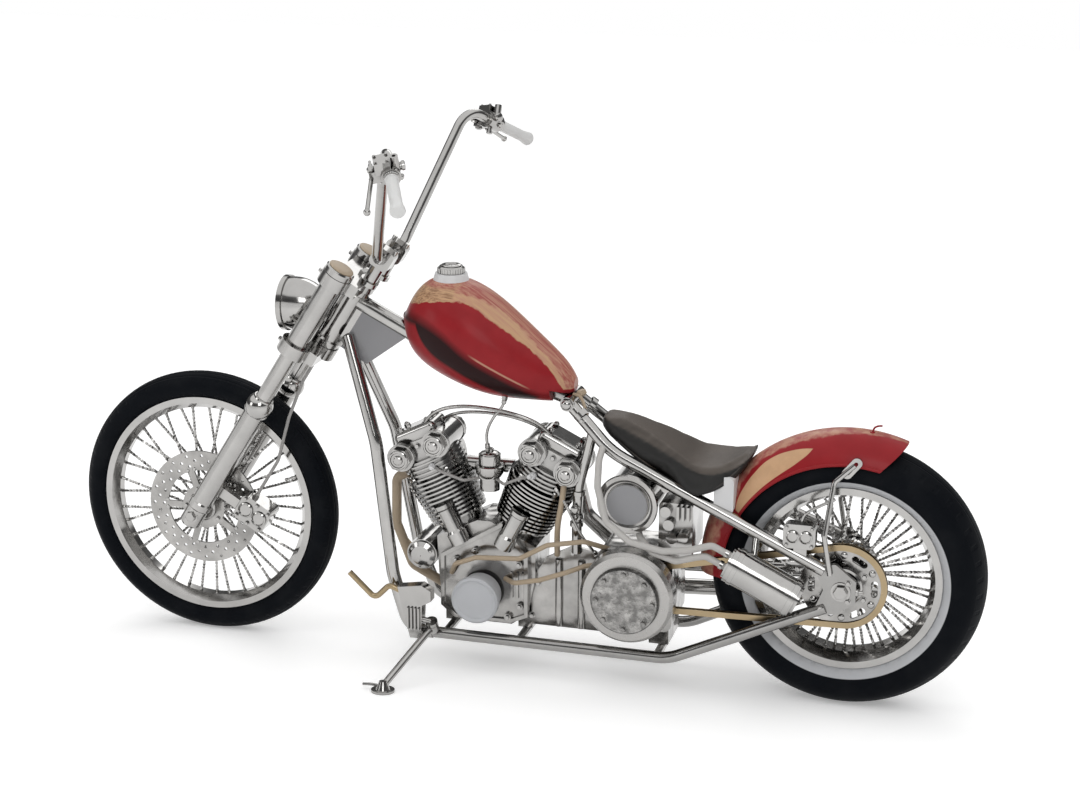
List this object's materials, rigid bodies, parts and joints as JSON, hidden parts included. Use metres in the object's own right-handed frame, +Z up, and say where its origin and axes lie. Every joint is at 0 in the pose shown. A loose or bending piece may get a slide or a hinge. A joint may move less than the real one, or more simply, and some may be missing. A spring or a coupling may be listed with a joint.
{
  "type": "chopper motorcycle",
  "caption": "Rigid-frame chopper motorcycle with a raked fork, tall handlebar, chromed V engine and solo saddle, leaning on its side stand.",
  "frame": {"origin": "bottom centre of the bounding box, on the floor the machine stands on", "axes": "+X towards the front wheel, +Y to the rider's left, +Z up; the machine leans 5 degrees to the left onto its stand"},
  "size_m": [2.272, 1.0246, 1.3475],
  "materials": {
    "chrome": "polished chrome plate",
    "satin_steel": "satin plated metal",
    "tyre": "matt black rubber",
    "red_paint": "gloss red with tan weathering",
    "leather": "smooth dark leather",
    "white_rubber": "translucent white rubber",
    "white_paint": "satin white",
    "frosted_cover": "frosted grey-white plastic",
    "lens": "clear glass",
    "brassy_steel": "aged brass tone",
    "tan_line": "tan hose",
    "grey_hose": "light grey hose",
    "grey_lead": "grey cable sleeve"
  },
  "bodies": {
    "frame": {"frame_neck": "chrome", "frame_backbone": "chrome", "frame_downtubes": "chrome", "frame_rails": "chrome", "frame_stays": "chrome", "frame_crossmembers": "chrome", "rear_axle": "chrome", "crankcase": "satin_steel", "cylinders": "chrome", "heads": "chrome", "pushrod_tubes": "chrome", "intake": "chrome", "generator": "chrome", "crank_pulley": "frosted_cover", "gearbox": "satin_steel", "engine_plate": "satin_steel", "clutch": "satin_steel", "drive_chain": "brassy_steel", "fuel_tank": "red_paint", "filler_base": "white_paint", "tank_cap": "chrome", "seat": "leather", "rear_fender": "red_paint", "fender_struts": "chrome", "oil_tank": "satin_steel", "electrical_box": "chrome", "filter_canister": "chrome", "oil_hoses": "grey_hose", "oil_lines": "tan_line", "plug_leads": "grey_lead", "foot_mounts": "chrome", "foot_levers": "brassy_steel", "exhaust_pipes": "chrome", "seat_brackets": "white_paint", "rear_caliper": "chrome", "stand_pin": "chrome"},
    "fork": {"fork_sliders": "chrome", "fork_tubes": "chrome", "lower_yoke": "chrome", "upper_yoke": "chrome", "headlamp": "chrome", "headlamp_lens": "lens", "handlebar": "chrome", "grips": "white_rubber", "hand_controls": "chrome", "risers": "chrome", "front_axle": "chrome", "front_caliper": "chrome", "front_brake_line": "grey_lead"},
    "front_wheel": {"front_tyre": "tyre", "front_rim": "chrome", "front_hub": "chrome", "front_brake_disc": "satin_steel"},
    "rear_wheel": {"rear_tyre": "tyre", "rear_rim": "chrome", "rear_hub": "chrome", "rear_sprocket": "satin_steel"},
    "side_stand": {"side_stand": "chrome"}
  },
  "joints": [
    {"name": "steering", "type": "hinge", "parent": "frame", "child": "fork", "pos_m": [0.44413, -0.03495, 0.82465], "axis": [-0.5299, 0.0739, 0.8448], "range_deg": [-35, 35]},
    {"name": "front_wheel_spin", "type": "hinge", "parent": "fork", "child": "front_wheel", "pos_m": [0.796, -0.07745, 0.33887], "axis": [0, 0.9962, -0.0872], "continuous": true},
    {"name": "rear_wheel_spin", "type": "hinge", "parent": "frame", "child": "rear_wheel", "pos_m": [-0.816, -0.07917, 0.31914], "axis": [0, 0.9962, -0.0872], "continuous": true},
    {"name": "stand_fold", "type": "hinge", "parent": "frame", "child": "side_stand", "pos_m": [0.162, 0.04535, 0.11314], "axis": [0.0083, -0.5292, -0.8485], "range_deg": [-99, 0]}
  ]
}
